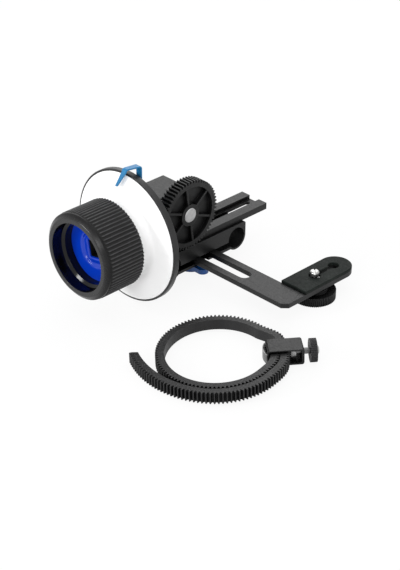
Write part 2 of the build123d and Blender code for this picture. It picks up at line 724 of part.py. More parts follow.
with BuildPart() as pointer_screw:
    rod(pointer_screw_plane.offset(-POINTER_T), RAIL_SCREW_R, POINTER_T + WALL - GAP)
    rod(pointer_screw_plane.offset(-POINTER_T - POINTER_HEAD_T), POINTER_HEAD_R, POINTER_HEAD_T)
    with BuildSketch(pointer_screw_plane.offset(-POINTER_T - POINTER_HEAD_T)):
        RegularPolygon(POINTER_HEAD_R / 2, 6)
    extrude(amount=POINTER_HEAD_T / 2, mode=Mode.SUBTRACT)
pointer_screw.part.label = "pointer_screw"
export_step(pointer_screw.part, "parts/pointer_screw.step")

# ---- drive gear ----
DRIVE_PITCH_R = MODULE * DRIVE_TEETH / 2
DRIVE_BACK = BOX_HALF_X + DRIVE_STANDOFF
DRIVE_FRONT = DRIVE_BACK + DRIVE_W
with BuildPart() as drive_gear:
    with BuildSketch(gear_plane(DRIVE_BACK)):
        with BuildLine():
            Polyline(
                *tooth_outline(
                    DRIVE_TEETH,
                    DRIVE_PITCH_R - DEDENDUM,
                    DRIVE_PITCH_R + MODULE,
                    GEAR_ROOT_SHARE,
                    GEAR_TIP_SHARE,
                ),
                close=True,
            )
        make_face()
    extrude(amount=DRIVE_W)
    for face_x in (DRIVE_FRONT - DRIVE_RECESS, DRIVE_BACK):
        with BuildSketch(gear_plane(face_x)) as pocket:
            Circle(DRIVE_RIM_R)
            Circle(DRIVE_HUB_R, mode=Mode.SUBTRACT)
        extrude(pocket.sketch, amount=DRIVE_RECESS, mode=Mode.SUBTRACT)
    for face_x in (DRIVE_FRONT - DRIVE_RECESS, DRIVE_BACK + DRIVE_RIB_DROP):
        with BuildSketch(gear_plane(face_x)) as ribs:
            for rib in range(DRIVE_RIBS):
                angle = DRIVE_RIB_TURN + rib * 360 / DRIVE_RIBS
                with PolarLocations((DRIVE_RIM_R + DRIVE_HUB_R) / 2, 1, start_angle=angle):
                    Rectangle(DRIVE_RIM_R - DRIVE_HUB_R + 2 * DRIVE_RIB_BITE, DRIVE_RIB_W)
        extrude(ribs.sketch, amount=DRIVE_RECESS - DRIVE_RIB_DROP)
    rod(gear_plane(DRIVE_BACK), PIN_R + SEAT, DRIVE_W, Mode.SUBTRACT)
drive_gear.part.label = "drive_gear"
export_step(drive_gear.part, "parts/drive_gear.step")

COLLAR_X = DRIVE_BACK - PIN_COLLAR
GEAR_SHAFT_STEP = BOX_HALF_X - WALL - GAP
GEAR_SHAFT_END = TAIL_BUSH_X + GAP
with BuildPart() as gear_shaft:
    rod(gear_plane(COLLAR_X), PIN_R, DRIVE_FRONT + PIN_PROUD - COLLAR_X)
    rod(gear_plane(GEAR_SHAFT_STEP), SHAFT_R, COLLAR_X - GEAR_SHAFT_STEP)
    rod(gear_plane(GEAR_SHAFT_END), INNER_SHAFT_R, GEAR_SHAFT_STEP - GEAR_SHAFT_END)
    chamfer(gear_shaft.edges().group_by(Axis.X)[-1], EDGE)
gear_shaft.part.label = "gear_shaft"
export_step(gear_shaft.part, "parts/gear_shaft.step")

with BuildPart() as gear_screw_gear:
    helical_gear(gear_plane)
    rod(gear_plane(-HELICAL_L), INNER_SHAFT_R + SEAT, 2 * HELICAL_L, Mode.SUBTRACT)
gear_screw_gear.part.label = "gear_screw_gear"
export_step(gear_screw_gear.part, "parts/gear_screw_gear.step")

# ---- L bracket ----
ARM_BOTTOM = ARM_TOP - ARM_T
FOOT_MID = (FOOT_LEFT + FOOT_RIGHT) / 2
FOOT_R = (FOOT_RIGHT - FOOT_LEFT) / 2


def foot_outline(start_y, cut):
    """The bracket's short arm in plan: straight sides and a round end."""
    with BuildSketch() as outline:
        with Locations((FOOT_MID, (start_y + FOOT_END - FOOT_R) / 2)):
            Rectangle(2 * FOOT_R, FOOT_END - FOOT_R - start_y)
        with Locations((FOOT_MID, FOOT_END - FOOT_R)):
            Circle(FOOT_R)
        if cut:
            chamfer(outline.vertices().sort_by_distance((FOOT_RIGHT, start_y, 0))[0], cut)
    return outline.sketch


with BuildPart() as bracket_plate:
    with BuildSketch(Plane.XY.offset(ARM_BOTTOM)):
        with Locations(((ARM_START + FOOT_MID) / 2, 0)):
            Rectangle(FOOT_MID - ARM_START, 2 * ARM_HALF)
        add(foot_outline(-ARM_HALF, CORNER_CUT))
        with Locations(((ARM_SLOT_START + ARM_SLOT_END) / 2, 0)):
            SlotOverall(ARM_SLOT_END - ARM_SLOT_START, 2 * ARM_SLOT_HALF, mode=Mode.SUBTRACT)
        with Locations((CAMERA_SCREW_X, (CAMERA_SCREW_Y + KEY_END) / 2)):
            SlotCenterToCenter(
                KEY_END - CAMERA_SCREW_Y, NECK_SLOT_W, rotation=90, mode=Mode.SUBTRACT
            )
        with Locations((CAMERA_SCREW_X, KEY_END)):
            Circle(KEY_WIDE_R, mode=Mode.SUBTRACT)
    extrude(amount=ARM_T)
bracket_plate.part.label = "bracket_plate"
export_step(bracket_plate.part, "parts/bracket_plate.step")

with BuildPart() as anti_slip_pad:
    with BuildSketch(Plane.XY.offset(ARM_TOP)):
        add(foot_outline(ARM_HALF, 0))
        with Locations((CAMERA_SCREW_X, CAMERA_SCREW_Y), (CAMERA_SCREW_X, KEY_END)):
            Circle(KEY_WIDE_R, mode=Mode.SUBTRACT)
        with Locations((CAMERA_SCREW_X, (CAMERA_SCREW_Y + KEY_END) / 2)):
            Rectangle(KEY_NARROW, KEY_END - CAMERA_SCREW_Y, mode=Mode.SUBTRACT)
    extrude(amount=PAD_T)
    chamfer(anti_slip_pad.edges().group_by(Axis.Z)[-1], EDGE)
anti_slip_pad.part.label = "anti_slip_pad"
export_step(anti_slip_pad.part, "parts/anti_slip_pad.step")

# ---- captive camera screw, its thumb wheel and the keeper washer ----
PAD_TOP = ARM_TOP + PAD_T
SCREW_PLANE = Plane(origin=(CAMERA_SCREW_X, CAMERA_SCREW_Y, 0), x_dir=(1, 0, 0), z_dir=(0, 0, 1))
NECK_BOTTOM = TABLE_Z + WHEEL_FLOOR
NECK_TOP = PAD_TOP + THREAD_GAP
with BuildPart() as camera_screw:
    rod(SCREW_PLANE.offset(NECK_BOTTOM), NECK_R, NECK_TOP - NECK_BOTTOM)
    rod(SCREW_PLANE.offset(NECK_TOP), THREAD_R, THREAD_TOP - NECK_TOP)
    fillet(camera_screw.edges().group_by(Axis.Z)[-1], DOME)
    with BuildSketch(SCREW_PLANE.offset(THREAD_TOP - DRIVER_SLOT_D)):
        Rectangle(DRIVER_SLOT, 2 * THREAD_R, rotation=DRIVER_SLOT_TURN)
    extrude(amount=DRIVER_SLOT_D, mode=Mode.SUBTRACT)
camera_screw.part.label = "camera_screw"
export_step(camera_screw.part, "parts/camera_screw.step")

with BuildPart() as thumb_wheel:
    with BuildSketch(SCREW_PLANE.offset(TABLE_Z)):
        with BuildLine():
            Polyline(
                *tooth_outline(
                    WHEEL_RIBS, WHEEL_R - WHEEL_GROOVE, WHEEL_R, RIB_ROOT_SHARE, RIB_TIP_SHARE
                ),
                close=True,
            )
        make_face()
    extrude(amount=WHEEL_TOP - TABLE_Z)
    with BuildSketch(SCREW_PLANE.offset(WHEEL_TOP)):
        Circle(WHEEL_BOSS_R)
    extrude(amount=WHEEL_BOSS_TOP - WHEEL_TOP, taper=WHEEL_BOSS_TAPER)
    rod(SCREW_PLANE.offset(NECK_BOTTOM), NECK_R + SEAT, WHEEL_BOSS_TOP - NECK_BOTTOM, Mode.SUBTRACT)
thumb_wheel.part.label = "thumb_wheel"
export_step(thumb_wheel.part, "parts/thumb_wheel.step")

with BuildPart() as keeper_washer:
    pipe(SCREW_PLANE.offset(ARM_BOTTOM - GAP - KEEPER_T), KEEPER_R, NECK_R + SEAT, KEEPER_T)
keeper_washer.part.label = "keeper_washer"
export_step(keeper_washer.part, "parts/keeper_washer.step")

# ---- gear belt, in the ring's own frame: X and Y lie along the belt's lower side ----
def ease(share):
    """A smooth step from 0 to 1."""
    share = min(max(share, 0.0), 1.0)
    return share * share * (3 - 2 * share)


def belt_offset(turned_by):
    """How far the belt's inner side lies outside the open loop, by degrees run from its fixed end."""
    tuck = BELT_TUCK * (1 - ease((turned_by % 360) / BELT_TUCK_DEG))
    tuck -= BELT_BOW * ease(1 - abs(turned_by % 360 - BELT_BOW_DEG) / BELT_BOW_SPAN_DEG)
    if turned_by < 360:
        first_lap = (LAP - BELT_TUCK) * ease((turned_by - BELT_LAP_DEG) / (360 - BELT_LAP_DEG))
        return first_lap - tuck
    flare = max(0.0, (turned_by - BELT_TAIL_DEG) / (BELT_END_DEG - BELT_TAIL_DEG))
    return LAP - tuck + BELT_FLARE * flare * flare


def belt_point(turned_by, depth):
    """A point of the belt seen along the ring's axis; depth runs outward from its inner side."""
    angle = BELT_START_DEG - turned_by
    loop = BELT_R + BELT_OVAL * math.cos(math.radians(2 * (angle - BELT_OVAL_DEG)))
    return polar(loop + belt_offset(turned_by) + depth, math.radians(angle))


def belt_walk():
    """Degrees run at each quarter pitch of the rack along the belt's pitch line."""
    stops = []
    pitch_depth = BELT_T - MODULE
    run = 0.0
    turned_by = 0.0
    while turned_by < BELT_END_DEG:
        here = belt_point(turned_by, pitch_depth)
        there = belt_point(turned_by + BELT_WALK_DEG, pitch_depth)
        run += math.dist(here, there)
        turned_by += BELT_WALK_DEG
        if run >= math.pi * MODULE / 4:
            run -= math.pi * MODULE / 4
            stops.append(turned_by)
    return stops


TOOTH_DEPTH = DEDENDUM + MODULE
stops = belt_walk()
outer_side = []
for tooth in range(len(stops) // 4):
    root_a, tip_a, tip_b, root_b = stops[4 * tooth : 4 * tooth + 4]
    outer_side.append(belt_point(root_a, BELT_T - TOOTH_DEPTH))
    outer_side.append(belt_point(tip_a, BELT_T))
    outer_side.append(belt_point(tip_b, BELT_T))
    outer_side.append(belt_point(root_b, BELT_T - TOOTH_DEPTH))
last_stop = stops[4 * (len(stops) // 4) - 1]
inner_count = round(last_stop / BELT_INNER_DEG)
inner_side = [belt_point(last_stop * (1 - k / inner_count), 0) for k in range(inner_count)]
inner_side.append(belt_point(stops[0], 0))

FRAME_ALONG = (*polar(1, math.radians(FRAME_DEG)), 0)
FRAME_ACROSS = (FRAME_ALONG[1], -FRAME_ALONG[0], 0)


def ring_plane():
    """The plane of the belt's lower side; its tail tip and the screw's knob touch the table."""
    tail_reach = -min(x * FRAME_ALONG[0] + y * FRAME_ALONG[1] for x, y in outer_side)
    knob_reach = FRAME_IN + FRAME_L + STEM_OUT
    tilt = math.atan2(SCREW_KNOB_R - BELT_H / 2, tail_reach + knob_reach)
    heading = Plane(
        origin=(RING_X, RING_Y, TABLE_Z + tail_reach * math.sin(tilt)),
        x_dir=(FRAME_ALONG[0] * math.cos(tilt), FRAME_ALONG[1] * math.cos(tilt), math.sin(tilt)),
        z_dir=(-FRAME_ALONG[0] * math.sin(tilt), -FRAME_ALONG[1] * math.sin(tilt), math.cos(tilt)),
    )
    return Plane(heading.location * Rotation(0, 0, -FRAME_DEG))


RING = ring_plane()


def on_ring(plane):
    """Carries a plane from the ring's own frame into the part's."""
    return Plane(RING.location * plane.location)


with BuildPart() as gear_belt:
    with BuildSketch(RING):
        with BuildLine():
            Polyline(*outer_side, *inner_side, close=True)
        make_face()
    extrude(amount=BELT_H)
gear_belt.part.label = "gear_belt"
export_step(gear_belt.part, "parts/gear_belt.step")

# ---- clamp frame: a rectangular tube the belt passes through twice ----
def frame_point(along, z):
    """A point on the frame's middle line, from its inner end, in the ring's own frame."""
    reach = FRAME_IN + along
    x = reach * FRAME_ALONG[0] + FRAME_ASIDE * FRAME_ACROSS[0]
    y = reach * FRAME_ALONG[1] + FRAME_ASIDE * FRAME_ACROSS[1]
    return (x, y, z)


FRAME_SECTION = on_ring(
    Plane(origin=frame_point(0, -FRAME_DROP), x_dir=FRAME_ALONG, z_dir=FRAME_ACROSS)
)


def screw_plane(along):
    """A plane square to the ring's thumbscrew, at a distance from the frame's inner end."""
    start = frame_point(along, BELT_H / 2)
    return on_ring(Plane(origin=start, x_dir=FRAME_ACROSS, z_dir=FRAME_ALONG))


with BuildPart() as belt_frame:
    with BuildSketch(FRAME_SECTION.offset(-FRAME_DEPTH / 2)):
        with Locations((FRAME_L / 2, FRAME_H / 2)):
            RectangleRounded(FRAME_L, FRAME_H, FRAME_CORNER)
        inner_l = FRAME_L - FRAME_WALL - FRAME_END_WALL
        inner_h = FRAME_H - FRAME_WALL - FRAME_FLOOR
        with Locations((FRAME_WALL + inner_l / 2, FRAME_FLOOR + inner_h / 2)):
            RectangleRounded(inner_l, inner_h, FRAME_CORNER - FRAME_WALL, mode=Mode.SUBTRACT)
    extrude(amount=FRAME_DEPTH)
    rod(screw_plane(FRAME_L - 2 * FRAME_END_WALL), STEM_R + RUN, 2 * FRAME_END_WALL, Mode.SUBTRACT)
belt_frame.part.label = "belt_frame"
export_step(belt_frame.part, "parts/belt_frame.step")

LEAF_PLANE = on_ring(
    Plane(origin=frame_point(0, (BELT_H - LEAF_H) / 2), x_dir=FRAME_ALONG, z_dir=(0, 0, 1))
)
with BuildPart() as lens_leaf:
    with BuildSketch(LEAF_PLANE):
        with BuildLine():
            half = FRAME_DEPTH / 2
            ThreePointArc((-LEAF_T, -half), (-LEAF_T - LEAF_BOW, 0), (-LEAF_T, half))
            Line((-LEAF_T, half), (0, half))
            ThreePointArc((0, half), (-LEAF_BOW, 0), (0, -half))
            Line((0, -half), (-LEAF_T, -half))
        make_face()
    extrude(amount=LEAF_H)
lens_leaf.part.label = "lens_leaf"
export_step(lens_leaf.part, "parts/lens_leaf.step")

# ---- thumbscrew of the ring ----
STEM_START = FOOT_START + FOOT_L + GAP
KNOB_START = FRAME_L + STEM_OUT
with BuildPart() as pressure_foot:
    rod(screw_plane(FOOT_START), FOOT_PAD_R, FOOT_L)
    chamfer(pressure_foot.edges().filter_by(GeomType.CIRCLE), EDGE)
pressure_foot.part.label = "pressure_foot"
export_step(pressure_foot.part, "parts/pressure_foot.step")

with BuildPart() as belt_screw_stem:
    rod(screw_plane(STEM_START), STEM_R, KNOB_START + SCREW_KNOB_L / 2 - STEM_START)
belt_screw_stem.part.label = "belt_screw_stem"
export_step(belt_screw_stem.part, "parts/belt_screw_stem.step")

with BuildPart() as belt_screw_knob:
    with BuildSketch(screw_plane(KNOB_START)):
        with BuildLine():
            Polyline(
                *tooth_outline(
                    SCREW_KNOB_RIBS,
                    SCREW_KNOB_R - SCREW_KNOB_GROOVE,
                    SCREW_KNOB_R,
                    RIB_ROOT_SHARE,
                    RIB_TIP_SHARE,
                ),
                close=True,
            )
        make_face()
    extrude(amount=SCREW_KNOB_L)
    rod(screw_plane(KNOB_START), STEM_R + SEAT, SCREW_KNOB_L / 2, Mode.SUBTRACT)
belt_screw_knob.part.label = "belt_screw_knob"
export_step(belt_screw_knob.part, "parts/belt_screw_knob.step")

with BuildPart() as belt_screw_cap:
    rod(screw_plane(KNOB_START + SCREW_KNOB_L), CAP_R, CAP_L)
    cap_rim = belt_screw_cap.edges().filter_by(GeomType.CIRCLE)
    fillet(cap_rim.sort_by_distance(RING.origin)[-1], CAP_ROUND)
belt_screw_cap.part.label = "belt_screw_cap"
export_step(belt_screw_cap.part, "parts/belt_screw_cap.step")
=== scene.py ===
import math

import bmesh
import bpy
from mathutils import Matrix, Vector


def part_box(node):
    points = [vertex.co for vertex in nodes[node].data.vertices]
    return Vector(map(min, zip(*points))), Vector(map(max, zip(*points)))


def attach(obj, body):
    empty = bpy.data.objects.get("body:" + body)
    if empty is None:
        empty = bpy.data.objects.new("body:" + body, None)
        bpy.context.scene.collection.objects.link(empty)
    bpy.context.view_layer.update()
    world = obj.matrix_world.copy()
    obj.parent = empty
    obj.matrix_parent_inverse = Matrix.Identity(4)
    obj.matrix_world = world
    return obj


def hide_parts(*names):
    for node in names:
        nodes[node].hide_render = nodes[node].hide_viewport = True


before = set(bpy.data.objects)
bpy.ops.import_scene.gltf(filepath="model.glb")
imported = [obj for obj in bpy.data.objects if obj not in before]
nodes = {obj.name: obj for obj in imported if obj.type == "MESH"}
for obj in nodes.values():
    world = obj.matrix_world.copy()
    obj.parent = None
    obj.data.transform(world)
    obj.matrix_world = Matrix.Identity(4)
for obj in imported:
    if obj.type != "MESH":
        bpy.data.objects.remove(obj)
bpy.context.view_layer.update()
scene = bpy.context.scene
MM = 0.001


def span(name):
    """Lowest and highest corner of a CAD node, in millimetres."""
    low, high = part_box(name)
    return low / MM, high / MM


def middle(name):
    """The middle of a CAD node's box, in millimetres."""
    low, high = span(name)
    return (low + high) / 2


def grey(level):
    """A neutral colour, very slightly cool."""
    return (level, level, level * 1.03)


# places taken from the CAD nodes, in millimetres
CUP_LOW, CUP_HIGH = span("wheel_cup")
FACE_LOW, FACE_HIGH = span("dished_face")
DISC_LOW, DISC_HIGH = span("marking_disc")
CARRIER_LOW, CARRIER_HIGH = span("disc_carrier")
GRIP_LOW, GRIP_HIGH = span("grip_sleeve")
WHEEL_AXIS = Vector((0, 0, middle("wheel_cup").z))
TABLE_Z = span("thumb_wheel")[0].z

# sizes of the turned pieces that the boxes don't give, in millimetres
LIP_FLAT_R = 26.3
LIP_SLOPE = 2.4
BORE_R = 23.1
STEP_DEPTH = 7.7
STEP_L = 1.3
INNER_BORE_R = FACE_HIGH.x
GRIP_IN_R = 27.22
BOSS_IN_R = 22.0
SOCKET_BODY_R = 10.42
WEB_T = 6.0
BOSS_R = 25.2
DISC_T = 1.7
SHAFT_HOLE_R = 4.02
BOSS_FACE_T = 1.6
SLIP = 0.02  # between the disc and the carrier round it
SHEEN_FULL_R = 25.6  # the lip's sheen fades from here
SHEEN_LEAST_R = 28.2  # to here
GRIP_GROOVE_R = 29.0
GRIP_CREST_R = 29.6
GRIP_PAINTED_SHADE_L = 0.9  # length of the grip's painted shadow at its rear end, against the disc
FINE = 256  # segments round a turned piece

# the camera: degrees, then millimetres
AZIMUTH, ELEVATION, ROLL = 44.90, 30.71, 0.66
CAMERA_PLACE = (692.38, -685.63, 548.0)
FILM_W = 36.0
FOCAL_LENGTH = 104.9

# the room, in metres
FLOOR_HALF = 4.0
FLOOR_GAP = 0.00002  # under the lowest piece
LAMP_TARGET = (0.02, -0.03, 0.01)


# ---------------------------------------------------------------- camera
def place_camera():
    """Solved from the photo: where the camera stands and how it is turned."""
    azimuth, elevation, roll = (math.radians(a) for a in (AZIMUTH, ELEVATION, ROLL))
    level = math.cos(elevation)
    back = Vector((math.sin(azimuth) * level, -math.cos(azimuth) * level, math.sin(elevation)))
    right = Vector((math.cos(azimuth), math.sin(azimuth), 0.0))
    up = back.cross(right)
    turned_right = right * math.cos(roll) + up * math.sin(roll)
    turned_up = up * math.cos(roll) - right * math.sin(roll)
    matrix = Matrix((turned_right, turned_up, back)).transposed().to_4x4()
    matrix.translation = Vector(CAMERA_PLACE) * MM
    data = bpy.data.cameras.new("camera")
    data.sensor_width = FILM_W
    data.lens = FOCAL_LENGTH
    data.clip_start = 0.05
    data.clip_end = 20.0
    camera = bpy.data.objects.new("camera", data)
    camera.matrix_world = matrix
    scene.collection.objects.link(camera)
    scene.camera = camera


# ---------------------------------------------------------------- node helpers
class Shader:
    """Builds one Principled material from procedural nodes."""

    def __init__(self, name, colour, rough, metallic=0.0, specular=0.5, coat=0.0, coat_rough=0.1):
        self.material = bpy.data.materials.new(name)
        self.material.use_nodes = True
        self.tree = self.material.node_tree
        self.bsdf = self.tree.nodes["Principled BSDF"]
        self.bsdf.inputs["Base Color"].default_value = (*colour, 1.0)
        self.bsdf.inputs["Roughness"].default_value = rough
        self.bsdf.inputs["Metallic"].default_value = metallic
        self.bsdf.inputs["Specular IOR Level"].default_value = specular
        self.bsdf.inputs["Coat Weight"].default_value = coat
        self.bsdf.inputs["Coat Roughness"].default_value = coat_rough
        self.coord = self.node("ShaderNodeTexCoord").outputs["Object"]
        self.normal = None
        self.material.diffuse_color = (*colour, 1.0)

    def node(self, kind, **inputs):
        made = self.tree.nodes.new(kind)
        for key, value in inputs.items():
            made.inputs[key.replace("_", " ")].default_value = value
        return made

    def link(self, a, b):
        self.tree.links.new(a, b)

    def noise(self, scale, detail=3.0, rough=0.55, vector=None):
        noise = self.node("ShaderNodeTexNoise", Scale=scale, Detail=detail, Roughness=rough)
        self.link(vector or self.coord, noise.inputs["Vector"])
        return noise.outputs["Fac"]

    def stretched(self, scale):
        mapping = self.node("ShaderNodeMapping")
        mapping.inputs["Scale"].default_value = scale
        self.link(self.coord, mapping.inputs["Vector"])
        return mapping.outputs["Vector"]

    def vector_math(self, operation, a, b=None):
        maths = self.node("ShaderNodeVectorMath")
        maths.operation = operation
        for value, socket in ((a, maths.inputs[0]), (b, maths.inputs[1])):
            if isinstance(value, (tuple, Vector)):
                socket.default_value = value
            elif value is not None:
                self.link(value, socket)
        return maths

    def remap(self, factor, low, high, from_low=0.3, from_high=0.7):
        remap = self.node("ShaderNodeMapRange")
        remap.inputs["From Min"].default_value = from_low
        remap.inputs["From Max"].default_value = from_high
        remap.inputs["To Min"].default_value = low
        remap.inputs["To Max"].default_value = high
        self.link(factor, remap.inputs["Value"])
        return remap.outputs["Result"]

    def mix(self, factor, a, b):
        mix = self.node("ShaderNodeMix")
        mix.data_type = "RGBA"
        for value, name in ((factor, "Factor"), (a, "A"), (b, "B")):
            socket = [s for s in mix.inputs if s.name == name and s.enabled][0]
            if isinstance(value, tuple):
                socket.default_value = (*value, 1.0)
            else:
                self.link(value, socket)
        return [s for s in mix.outputs if s.enabled][0]

    def colour(self, source):
        self.link(source, self.bsdf.inputs["Base Color"])

    def roughness(self, source):
        self.link(source, self.bsdf.inputs["Roughness"])

    def sheen(self, source):
        self.link(source, self.bsdf.inputs["Specular IOR Level"])

    def radius(self, centre, axis):
        """Distance from an axis through centre (millimetres), in metres."""
        offset = self.vector_math("SUBTRACT", self.coord, centre * MM)
        across = tuple(0.0 if a == axis else 1.0 for a in "XYZ")
        flat = self.vector_math("MULTIPLY", offset.outputs[0], across)
        return self.vector_math("LENGTH", flat.outputs[0]).outputs["Value"]

    def edges(self, base, edge, width):
        """base, turning to edge where the surface bends within width (millimetres)."""
        bevel = self.node("ShaderNodeBevel", Radius=width * MM)
        bevel.samples = 4
        true = self.node("ShaderNodeNewGeometry").outputs["Normal"]
        dot = self.vector_math("DOT_PRODUCT", bevel.outputs["Normal"], true).outputs["Value"]
        return self.mix(self.remap(dot, 1.0, 0.0, 0.8, 0.99), base, edge)

    def painted_hollow_shade(self, body, reach, specular):
        """Painted shade: body and its sheen, both fading to black in hollows up to reach
        (millimetres) deep.
        """
        open_air = self.node("ShaderNodeAmbientOcclusion", Distance=reach * MM)
        open_air.samples = 6
        share = self.remap(open_air.outputs["AO"], 0.0, 1.0, 0.25, 0.85)
        self.sheen(self.remap(share, 0.02, specular, 0.0, 1.0))
        # painted shade: the colour turns near black where the hollow is deep
        return self.mix(share, grey(0.001), body)

    def bump(self, height, strength, distance):
        bump = self.node("ShaderNodeBump", Strength=strength, Distance=distance * MM)
        self.link(height, bump.inputs["Height"])
        if self.normal is not None:
            self.link(self.normal, bump.inputs["Normal"])
        self.normal = bump.outputs["Normal"]
        self.link(self.normal, self.bsdf.inputs["Normal"])


# ---------------------------------------------------------------- finishes
def anodised(name, level, rough=0.42, specular=0.3, edge=0.10, edge_width=0.3, grain=0.16):
    """Bead-blasted and anodised aluminium: a fine grain and thin paler corners."""
    shader = Shader(name, grey(level), rough, specular=specular)
    cloud = shader.remap(shader.noise(60.0, 4.0), 0.0, 1.0)
    fine = shader.noise(2600.0, 2.0, 0.7)
    body = shader.mix(cloud, grey(0.8 * level), grey(1.2 * level))
    speck = shader.mix(shader.remap(fine, 0.0, 0.3, 0.5, 0.75), body, grey(3.0 * level))
    # paler corners, then painted shade in hollows up to 12 mm deep
    shader.colour(shader.painted_hollow_shade(shader.edges(speck, grey(edge), edge_width), 12.0, specular))
    shader.roughness(shader.remap(shader.noise(900.0, 2.0), rough - 0.06, rough + 0.08))
    shader.bump(fine, grain, 0.03)
    return shader.material


def lip_satin(name, level, rough):
    """The cup's lip: a brighter sheen on its flat ring, fading down the slope."""
    shader = Shader(name, grey(level), rough)
    fine = shader.noise(2600.0, 2.0, 0.7)
    cloud = shader.remap(shader.noise(60.0, 4.0), 0.0, 1.0)
    shader.colour(shader.mix(cloud, grey(0.8 * level), grey(1.3 * level)))
    radius = shader.radius(WHEEL_AXIS, "Y")
    shader.sheen(shader.remap(radius, 0.4, 0.1, SHEEN_FULL_R * MM, SHEEN_LEAST_R * MM))
    shader.roughness(shader.remap(shader.noise(900.0, 2.0), rough - 0.04, rough + 0.06))
    shader.bump(fine, 0.04, 0.03)
    return shader.material


def moulded(name, dark, light, rough=0.5, grain=0.2, specular=0.5, edge=None, mottle=120.0):
    """Moulded plastic with a faint texture and flow marks."""
    shader = Shader(name, light, rough, specular=specular)
    flow = shader.noise(mottle, 5.0, 0.6)
    fine = shader.noise(1500.0, 3.0, 0.6)
    body = shader.mix(shader.remap(flow, 0.0, 1.0), dark, light)
    # with an edge colour: paler edges, then painted shade in hollows up to 8 mm deep
    shader.colour(shader.painted_hollow_shade(shader.edges(body, edge, 0.22), 8.0, specular) if edge else body)
    shader.roughness(shader.remap(fine, rough - 0.08, rough + 0.1))
    shader.bump(fine, grain, 0.04)
    return shader.material


def rubbery(name, dark, light, rough=0.62, pebble=1500.0, grain=0.35, edge=None, specular=0.3):
    """Matt rubber or flexible plastic with a fine pebble."""
    shader = Shader(name, light, rough, specular=specular)
    cells = shader.node("ShaderNodeTexVoronoi", Scale=pebble)
    shader.link(shader.coord, cells.inputs["Vector"])
    cloud = shader.remap(shader.noise(90.0, 5.0, 0.6), 0.0, 1.0)
    body = shader.mix(cloud, dark, light)
    # with an edge colour: paler edges, then painted shade in hollows up to 2.5 mm deep
    shader.colour(shader.painted_hollow_shade(shader.edges(body, edge, 0.2), 2.5, specular) if edge else body)
    shader.roughness(shader.remap(shader.noise(700.0, 3.0), rough - 0.08, rough + 0.08))
    shader.bump(cells.outputs["Distance"], grain, 0.05)
    return shader.material


def ribbed_rubber(name, groove_painted_shade, crest):
    """The grip's rubber: pale on the crests, partly from wear, with painted shade in the grooves
    and at its rear end.
    """
    shader = Shader(name, crest, 0.42, specular=0.25)
    radius = shader.radius(WHEEL_AXIS, "Y")
    # painted shade: darker towards the grooves, paler on the crests, varied by wear
    height = shader.remap(radius, 0.0, 1.0, GRIP_GROOVE_R * MM, GRIP_CREST_R * MM)
    wear = shader.remap(shader.noise(300.0, 4.0), 0.6, 1.1)
    share = shader.node("ShaderNodeMath")
    share.operation = "MULTIPLY"
    shader.link(height, share.inputs[0])
    shader.link(wear, share.inputs[1])
    along = shader.node("ShaderNodeSeparateXYZ")
    shader.link(shader.coord, along.inputs[0])
    # painted shadow: the rear end turns near black, with less sheen, where it meets the disc
    painted_shade_start = GRIP_HIGH.y - GRIP_PAINTED_SHADE_L
    end = shader.remap(along.outputs["Y"], 0.0, 1.0, painted_shade_start * MM, (painted_shade_start + 0.4) * MM)
    ribs = shader.mix(share.outputs[0], groove_painted_shade, crest)
    shader.colour(shader.mix(end, ribs, grey(0.0005)))
    shader.sheen(shader.remap(end, 0.3, 0.0, 0.0, 1.0))
    shader.roughness(shader.remap(shader.noise(900.0, 3.0), 0.38, 0.54))
    shader.bump(shader.noise(2200.0, 2.0), 0.15, 0.03)
    return shader.material


def gloss(name, colour, dust_colour, rough=0.12, coat=0.6, specular=0.5, dust=0.2):
    """Polished and anodised: deep gloss with the slightest orange peel and dust."""
    shader = Shader(name, colour, rough, specular=specular, coat=coat, coat_rough=0.05)
    specks = shader.remap(shader.noise(1900.0, 2.0, 0.7), 0.0, dust, 0.55, 0.8)
    shader.colour(shader.mix(specks, colour, dust_colour))
    shader.roughness(shader.remap(shader.noise(200.0, 3.0), rough - 0.03, rough + 0.06))
    shader.bump(shader.noise(420.0, 2.0), 0.06, 0.05)
    return shader.material


def turned_metal(name, colour, rough=0.25, centre=None, axis="X"):
    """Bright metal with lathe marks round an axis."""
    shader = Shader(name, colour, rough, metallic=1.0)
    shade = shader.remap(shader.noise(500.0, 4.0), 0.0, 1.0)
    shader.colour(shader.mix(shade, tuple(0.82 * c for c in colour), colour))
    if centre is None:
        marks = shader.noise(1.0, 2.0, 0.6, shader.stretched((250.0, 250.0, 4200.0)))
    else:
        wave = shader.node("ShaderNodeCombineXYZ")
        shader.link(shader.radius(centre, axis), wave.inputs["X"])
        marks = shader.noise(2600.0, 3.0, 0.6, wave.outputs["Vector"])
    shader.roughness(shader.remap(marks, rough - 0.08, rough + 0.16))
    shader.bump(marks, 0.25, 0.03)
    return shader.material


def satin_white(name, level):
    """Smooth white plastic, made to be written on."""
    shader = Shader(name, grey(level), 0.42, specular=0.35)
    cloud = shader.remap(shader.noise(45.0, 4.0), 0.0, 1.0)
    shader.colour(shader.mix(cloud, (level - 0.01,) * 3, (level + 0.01,) * 3))
    shader.roughness(shader.remap(shader.noise(800.0, 2.0), 0.38, 0.5))
    shader.bump(shader.noise(1800.0, 2.0), 0.05, 0.03)
    return shader.material


# ---------------------------------------------------------------- mesh helpers
def new_piece(name, bm, body, material, sharp, replaces):
    """A finished mesh that rides on a body, in the place of the CAD node replaces."""
    bmesh.ops.remove_doubles(bm, verts=bm.verts, dist=1e-7)
    bmesh.ops.recalc_face_normals(bm, faces=bm.faces)
    mesh = bpy.data.meshes.new(name)
    bm.to_mesh(mesh)
    bm.free()
    mesh.shade_smooth()
    mesh.set_sharp_from_angle(angle=math.radians(sharp))
    piece = bpy.data.objects.new(name, mesh)
    scene.collection.objects.link(piece)
    mesh.materials.append(material)
    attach(piece, body)
    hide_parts(replaces)
    return piece


